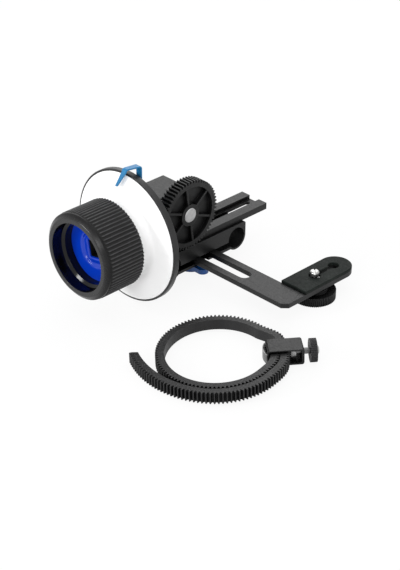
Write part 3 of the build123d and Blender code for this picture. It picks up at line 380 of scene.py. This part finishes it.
def rounded(points, steps=8):
    """A closed corner list of (a, b, radius) as a smooth outline of (a, b)."""
    result = []
    for i, (a, b, radius) in enumerate(points):
        here = Vector((a, b))
        if radius <= 0:
            result.append(here)
            continue
        before = Vector(points[i - 1][:2]) - here
        after = Vector(points[(i + 1) % len(points)][:2]) - here
        half = before.angle(after) / 2
        reach = min(radius / math.tan(half), 0.49 * before.length, 0.49 * after.length)
        size = reach * math.tan(half)
        start = here + before.normalized() * reach
        end = here + after.normalized() * reach
        inward = (before.normalized() + after.normalized()).normalized()
        centre = here + inward * size / math.sin(half)
        spoke = start - centre
        sweep = spoke.angle_signed(end - centre)
        for k in range(steps + 1):
            c, s = math.cos(-sweep * k / steps), math.sin(-sweep * k / steps)
            result.append(centre + Vector((spoke.x * c - spoke.y * s, spoke.x * s + spoke.y * c)))
    return result


def on_wheel(radius, angle, y):
    """A point round the hand wheel's axis, in metres."""
    return Vector((radius * math.cos(angle), y, WHEEL_AXIS.z + radius * math.sin(angle))) * MM


def join_rings(bm, rings, closed=True):
    """Faces between each ring of vertices and the next and, if closed, from last to first."""
    for a, b in zip(rings, rings[1:] + (rings[:1] if closed else [])):
        for k in range(len(a)):
            n = (k + 1) % len(a)
            bm.faces.new((a[k], a[n], b[n], b[k]))


def wheel_turned(outline):
    """Turns a closed outline of (y, radius) round the hand wheel's axis."""
    bm = bmesh.new()
    angles = [2 * math.pi * k / FINE for k in range(FINE)]
    join_rings(bm, [[bm.verts.new(on_wheel(r, a, y)) for a in angles] for y, r in outline])
    return bm


def soften(name, width):
    """Rounds the corners of a CAD node with modifiers; its mesh stays as packed."""
    node = nodes[name]
    weld = node.modifiers.new("weld", "WELD")
    weld.merge_threshold = 2e-6
    bevel = node.modifiers.new("bevel", "BEVEL")
    bevel.width = width * MM
    bevel.segments = 2
    bevel.limit_method = "ANGLE"
    bevel.angle_limit = math.radians(32.0)
    bevel.use_clamp_overlap = True
    weighted = node.modifiers.new("weighted", "WEIGHTED_NORMAL")
    weighted.keep_sharp = True
    weighted.weight = 60


# ---------------------------------------------------------------- materials
black = anodised("black_anodised", 0.007, 0.42, 0.26)
black_box = anodised("black_anodised_box", 0.008, 0.46, grain=0.3)
black_arm = anodised("black_anodised_arm", 0.007, 0.42, 0.29)
black_steel = moulded("black_oxide", grey(0.008), grey(0.014), 0.4, 0.1, 0.4, grey(0.06))
gear_black = moulded("gear_plastic", grey(0.005), grey(0.011), 0.42, 0.2, 0.32, grey(0.1), 160.0)
belt_black = rubbery("belt_plastic", grey(0.008), grey(0.014), 0.5, 1800.0, 0.2, grey(0.05))
pad_rubber = rubbery("pad_rubber", (0.005, 0.007, 0.006), (0.013, 0.0165, 0.0145), 0.6, 1300.0,
                     0.4, (0.045, 0.049, 0.045), 0.1)
cup_satin = lip_satin("cup_satin", 0.012, 0.25)
# glossy, and painted shade: much darker than the lip although both are one cup
bore_gloss_and_shade = gloss("bore_gloss_and_shade", (0.0015, 0.0015, 0.0018), (0.01, 0.01, 0.014), 0.13, 0.0, 0.25,
                   0.1)
grip_black = ribbed_rubber("grip_rubber", grey(0.003), grey(0.06))
carrier_satin = anodised("carrier_satin", 0.016, 0.36, 0.35, 0.08, 0.25, 0.06)
blue_face = gloss("blue_face", (0.0, 0.03, 0.39), (0.01, 0.06, 0.5), 0.14, 0.25, 0.25, 0.08)
blue_pointer = moulded("pointer_paint", (0.012, 0.15, 0.34), (0.022, 0.2, 0.42), 0.3, 0.08, 0.3)
blue_lever = moulded("lever_plastic", (0.003, 0.07, 0.28), (0.005, 0.09, 0.36), 0.38, 0.12)
white = satin_white("marking_white", 0.92)
pin_metal = turned_metal("pin_steel", (0.6, 0.6, 0.6), 0.5, middle("gear_shaft"), "X")
steel = turned_metal("bright_steel", (0.46, 0.46, 0.45), 0.26)
stem_steel = turned_metal("stem_steel", (0.16, 0.16, 0.16), 0.3)
brass = turned_metal("brass", (0.7, 0.55, 0.3), 0.3)
foot_grey = rubbery("foot_rubber", (0.42, 0.42, 0.42), (0.5, 0.5, 0.5), 0.6, 1600.0, 0.2)

for material, names in (
    (black, ("rod_clamp_block", "slide_rail", "thumb_wheel", "belt_frame", "belt_screw_knob")),
    (black_box, ("gearbox_housing", "gearbox_cover")),
    (black_arm, ("bracket_plate",)),
    (black_steel, ("clamp_bolt", "clamp_washer", "cover_screws", "rail_screws", "crank_socket",
                   "pointer_screw", "keeper_washer")),
    (brass, ("wheel_bush", "wheel_tail_bush", "gear_bush", "gear_tail_bush")),
    (steel, ("wheel_screw_gear", "gear_screw_gear", "camera_screw", "belt_screw_cap")),
    (stem_steel, ("wheel_shaft", "belt_screw_stem", "lens_leaf")),
    (pin_metal, ("gear_shaft",)),
    (gear_black, ("drive_gear",)),
    (pad_rubber, ("anti_slip_pad",)),
    (belt_black, ("gear_belt",)),
    (blue_lever, ("clamp_lever",)),
    (foot_grey, ("pressure_foot",)),
):
    for name in names:
        nodes[name].data.materials.clear()
        nodes[name].data.materials.append(material)


# ---------------------------------------------------------------- hand wheel
def turned_cup():
    """The wheel's body; its bore is glossier than its lip and painted darker as shade. Outline: y,
    radius, corner radius.
    """
    front, back = CUP_LOW.y, CUP_HIGH.y
    step = front + STEP_DEPTH
    outline = rounded(
        [
            (front, BORE_R, 0.3),
            (front, LIP_FLAT_R, 1.7),
            (front + LIP_SLOPE, CUP_HIGH.x, 1.4),
            (GRIP_LOW.y, CUP_HIGH.x, 0.1),
            (GRIP_LOW.y, GRIP_IN_R, 0.0),
            (back, GRIP_IN_R, 0.3),
            (back, BOSS_IN_R, 0.3),
            (FACE_HIGH.y + WEB_T, BOSS_IN_R, 0.0),
            (FACE_HIGH.y + WEB_T, SOCKET_BODY_R, 0.0),
            (FACE_HIGH.y, SOCKET_BODY_R, 0.0),
            (FACE_HIGH.y, INNER_BORE_R, 0.0),
            (step + STEP_L, INNER_BORE_R, 0.25),
            (step, BORE_R, 0.25),
        ]
    )
    cup = new_piece("wheel_cup_turned", wheel_turned(outline), "hand_wheel",
                    cup_satin, 40.0, "wheel_cup")
    cup.data.materials.append(bore_gloss_and_shade)
    for polygon in cup.data.polygons:
        centre = polygon.center
        radius = math.hypot(centre.x, centre.z - WHEEL_AXIS.z * MM)
        inside = radius < (BORE_R + 0.2) * MM
        if inside and centre.y > (front + 0.5) * MM:
            polygon.material_index = 1  # the gloss, painted darker as shade


def ribbed_grip():
    """Narrow crests with wide hollow grooves, their ends rounded off to a smooth neck."""
    ribs, depth = 72, 1.0
    # across one rib: share of its pitch, share of its height
    rib = ((0.0, 0.0), (0.15, 0.06), (0.28, 0.35), (0.4, 0.88),
           (0.5, 1.0), (0.6, 0.88), (0.72, 0.35), (0.85, 0.06))
    pitch = 2 * math.pi / ribs
    samples = [((k + share) * pitch, height) for k in range(ribs) for share, height in rib]
    front, back, crest = GRIP_LOW.y, GRIP_HIGH.y, GRIP_HIGH.x
    # distance from that end, share of the rib's height, drop of the whole ring
    front_end = ((0.0, 0.0, 0.45), (0.25, 0.0, 0.15), (0.5, 0.0, 0.1), (0.75, 0.5, 0.05),
                 (1.0, 0.8, 0.0), (1.4, 0.95, 0.0), (1.9, 1.0, 0.0))
    rear_end = ((0.9, 1.0, 0.0), (0.5, 0.9, 0.0), (0.15, 0.6, 0.05), (0.0, 0.2, 0.2))
    stations = [(front + d, share, drop) for d, share, drop in front_end]
    stations += [(back - d, share, drop) for d, share, drop in rear_end]
    bm = bmesh.new()
    rings = []
    for y, share, drop in stations:
        rings.append([
            bm.verts.new(on_wheel(crest - depth * (1 - height * share) - drop, angle, y))
            for angle, height in samples
        ])
    for y in (back, front):
        rings.append([bm.verts.new(on_wheel(GRIP_IN_R + 0.03, angle, y)) for angle, _ in samples])
    join_rings(bm, rings)
    new_piece("grip_sleeve_ribbed", bm, "hand_wheel", grip_black, 60.0, "grip_sleeve")


def dished_face():
    """A blue dish with a round hollow and a soft collar round the square hole."""
    turn, half = math.radians(10.5), 5.7  # of the square hole
    back = FACE_HIGH.y - FACE_LOW.y - 0.05
    # half width, depth below the rim, and how square the ring is: 2 is a circle
    stations = (
        (INNER_BORE_R, 0.0, 2), (20.4, 0.02, 2), (17.5, 0.07, 2), (14.5, 0.14, 2), (13.0, 0.22, 2),
        (12.2, 0.36, 2), (11.5, 0.62, 2.2), (10.8, 0.95, 2.5), (10.2, 1.2, 3), (9.6, 1.34, 3.5),
        (9.0, 1.32, 4.5), (8.4, 1.12, 6), (7.8, 0.9, 8), (7.3, 0.78, 10), (6.8, 0.8, 12),
        (6.25, 1.0, 16), (half + 0.15, 1.3, 20), (half, 1.7, 24),
        (half, back, 24), (INNER_BORE_R, back, 2),
    )
    bm = bmesh.new()
    rings = []
    for width, depth, power in stations:
        ring = []
        for k in range(FINE):
            angle = 2 * math.pi * k / FINE
            c, s = abs(math.cos(angle - turn)), abs(math.sin(angle - turn))
            radius = width * (c**power + s**power) ** (-1 / power)
            ring.append(bm.verts.new(on_wheel(radius, angle, FACE_LOW.y + depth)))
        rings.append(ring)
    join_rings(bm, rings)
    new_piece("dished_face_blue", bm, "hand_wheel", blue_face,
              50.0, "dished_face")


def turned_disc():
    """The white disc with its raised boss."""
    back = DISC_HIGH.y
    face = back - DISC_T
    outline = rounded(
        [
            (DISC_LOW.y, SHAFT_HOLE_R, 0.0),
            (DISC_LOW.y, BOSS_R, 0.3),
            (face, BOSS_R, 2.6),
            (face, DISC_HIGH.x, 0.25),
            (back, DISC_HIGH.x, 0.0),
            (back, BOSS_IN_R, 0.0),
            (DISC_LOW.y + BOSS_FACE_T, BOSS_IN_R, 0.0),
            (DISC_LOW.y + BOSS_FACE_T, SHAFT_HOLE_R, 0.0),
        ],
        10,
    )
    new_piece("marking_disc_turned", wheel_turned(outline), "hand_wheel", white,
              40.0, "marking_disc")


def turned_carrier():
    """The black carrier: a rim round the disc, a web behind it and a hub."""
    front, back = CARRIER_LOW.y, CARRIER_HIGH.y
    floor = DISC_HIGH.y
    web, lip, hub = 1.5, 1.5, 12.0
    outline = rounded(
        [
            (floor, SHAFT_HOLE_R, 0.0),
            (floor, DISC_HIGH.x + SLIP, 0.0),
            (front, DISC_HIGH.x + SLIP, 0.1),
            (front, CARRIER_HIGH.x, 0.45),
            (back, CARRIER_HIGH.x, 0.5),
            (back, DISC_HIGH.x - lip, 0.2),
            (floor + web, DISC_HIGH.x - lip, 0.2),
            (floor + web, hub, 0.2),
            (back, hub, 0.3),
            (back, SHAFT_HOLE_R, 0.0),
        ]
    )
    new_piece("disc_carrier_turned", wheel_turned(outline), "hand_wheel",
              carrier_satin, 40.0, "disc_carrier")


turned_cup()
ribbed_grip()
dished_face()
turned_disc()
turned_carrier()


# ---------------------------------------------------------------- pointer
def pointer_strip():
    """A strip of sheet metal bent twice, narrowing and slanting towards its tip."""
    thick, rear_width, bend_width, tip_width = 1.1, 4.7, 3.9, 2.0
    bend_x, bend, edge, steps = 3.1, 1.65, 0.22, 8
    low, high = span("pointer")
    rear_x, tip_x, tip_z = high.x - rear_width / 2, low.x + tip_width / 2, 65.75
    rear, front, top = high.y - thick / 2, low.y + thick / 2, high.z - thick / 2
    # middle line: x, y, z and width
    line = [(rear_x, rear, low.z, rear_width)]
    for k in range(steps + 1):
        c, s = math.cos(math.pi / 2 * k / steps), math.sin(math.pi / 2 * k / steps)
        line.append((rear_x, rear - bend * (1 - c), top - bend * (1 - s), rear_width))
    for k in range(steps + 1):
        c, s = math.cos(math.pi / 2 * k / steps), math.sin(math.pi / 2 * k / steps)
        line.append((bend_x, front + bend * (1 - s), top - bend * (1 - c), bend_width))
    line.append((tip_x, front, tip_z, tip_width))
    bm = bmesh.new()
    rings = []
    for i, (x, y, z, width) in enumerate(line):
        run = Vector(line[min(i + 1, len(line) - 1)][:3]) - Vector(line[max(i - 1, 0)][:3])
        normal = Vector((0, -run.z, run.y)).normalized() * thick / 2
        across = Vector((width / 2, 0, 0))
        trim_a, trim_n = Vector((edge, 0, 0)), normal.normalized() * edge
        ring = []
        for u, v in ((-1, -1), (1, -1), (1, 1), (-1, 1)):
            corner = Vector((x, y, z)) + u * across + v * normal
            cuts = (-v * trim_n, -u * trim_a) if u * v > 0 else (-u * trim_a, -v * trim_n)
            ring += [bm.verts.new((corner + cut) * MM) for cut in cuts]
        rings.append(ring)
    join_rings(bm, rings, closed=False)
    bm.faces.new(rings[0])
    bm.faces.new(rings[-1])
    new_piece("pointer_strip", bm, "rail_carriage", blue_pointer, 40.0, "pointer")


pointer_strip()

for name, width in {
    "rod_clamp_block": 0.35,
    "slide_rail": 0.3,
    "gearbox_housing": 0.2,
    "gearbox_cover": 0.2,
    "bracket_plate": 0.3,
    "belt_frame": 0.3,
    "clamp_lever": 0.8,
    "anti_slip_pad": 0.15,
    "drive_gear": 0.12,
    "thumb_wheel": 0.12,
    "gear_belt": 0.12,
    "belt_screw_knob": 0.15,
}.items():
    soften(name, width)


# ---------------------------------------------------------------- light and backdrop
def area(name, direction, distance, size, power):
    """A square softbox that faces the object from the given direction: metres and watts."""
    data = bpy.data.lights.new(name, "AREA")
    data.energy = power
    data.size = size
    lamp = bpy.data.objects.new(name, data)
    lamp.location = Vector(LAMP_TARGET) + Vector(direction).normalized() * distance
    lamp.rotation_euler = Vector(direction).to_track_quat("Z", "Y").to_euler()
    scene.collection.objects.link(lamp)


def light_path_mix(tree, plain, bright):
    """bright to camera, glossy and transmitted rays, plain for the light it gives."""
    path = tree.nodes.new("ShaderNodeLightPath")
    seen = path.outputs["Is Camera Ray"]
    for kind in ("Is Glossy Ray", "Is Transmission Ray"):
        either = tree.nodes.new("ShaderNodeMath")
        either.operation = "MAXIMUM"
        tree.links.new(seen, either.inputs[0])
        tree.links.new(path.outputs[kind], either.inputs[1])
        seen = either.outputs[0]
    mix = tree.nodes.new("ShaderNodeMixShader")
    tree.links.new(seen, mix.inputs[0])
    tree.links.new(plain, mix.inputs[1])
    tree.links.new(bright, mix.inputs[2])
    return mix.outputs[0]


def make_world(fill):
    """White to look at, and giving fill as much light."""
    world = bpy.data.worlds.new("studio")
    scene.world = world
    world.use_nodes = True
    tree = world.node_tree
    tree.nodes.clear()
    backgrounds = []
    for strength in (fill, 1.0):
        background = tree.nodes.new("ShaderNodeBackground")
        background.inputs["Color"].default_value = (1.0, 1.0, 1.0, 1.0)
        background.inputs["Strength"].default_value = strength
        backgrounds.append(background.outputs[0])
    output = tree.nodes.new("ShaderNodeOutputWorld")
    tree.links.new(light_path_mix(tree, *backgrounds), output.inputs["Surface"])


def make_floor(shadow):
    """A plain pale floor that the camera sees nearly white, with a share of its real shadow."""
    bm = bmesh.new()
    for x, y in ((-1, -1), (1, -1), (1, 1), (-1, 1)):
        bm.verts.new((x * FLOOR_HALF, y * FLOOR_HALF, TABLE_Z * MM - FLOOR_GAP))
    bm.faces.new(bm.verts)
    mesh = bpy.data.meshes.new("floor")
    bm.to_mesh(mesh)
    bm.free()
    floor = bpy.data.objects.new("floor", mesh)
    scene.collection.objects.link(floor)
    material = bpy.data.materials.new("floor_white")
    material.use_nodes = True
    tree = material.node_tree
    tree.nodes.clear()
    diffuse = tree.nodes.new("ShaderNodeBsdfDiffuse")
    diffuse.inputs["Color"].default_value = (0.86, 0.86, 0.86, 1.0)
    glow = tree.nodes.new("ShaderNodeEmission")
    glow.inputs["Strength"].default_value = 1.0
    seen = tree.nodes.new("ShaderNodeMixShader")
    seen.inputs[0].default_value = 1.0 - shadow
    tree.links.new(diffuse.outputs[0], seen.inputs[1])
    tree.links.new(glow.outputs[0], seen.inputs[2])
    output = tree.nodes.new("ShaderNodeOutputMaterial")
    shown = light_path_mix(tree, diffuse.outputs[0], seen.outputs[0])
    tree.links.new(shown, output.inputs["Surface"])
    mesh.materials.append(material)


place_camera()
make_world(0.78)
make_floor(0.1)
area("front_left_softbox", (-0.37, -0.9, 0.34), 1.4, 0.3, 7.0)
area("front_right_softbox", (0.33, -0.85, 0.42), 1.5, 0.5, 7.0)
area("back_softbox", (-0.62, 0.62, 0.6), 1.4, 0.9, 4.5)
area("top_softbox", (0.1, 0.1, 1.0), 1.1, 1.3, 3.0)

scene.view_settings.view_transform = "Standard"
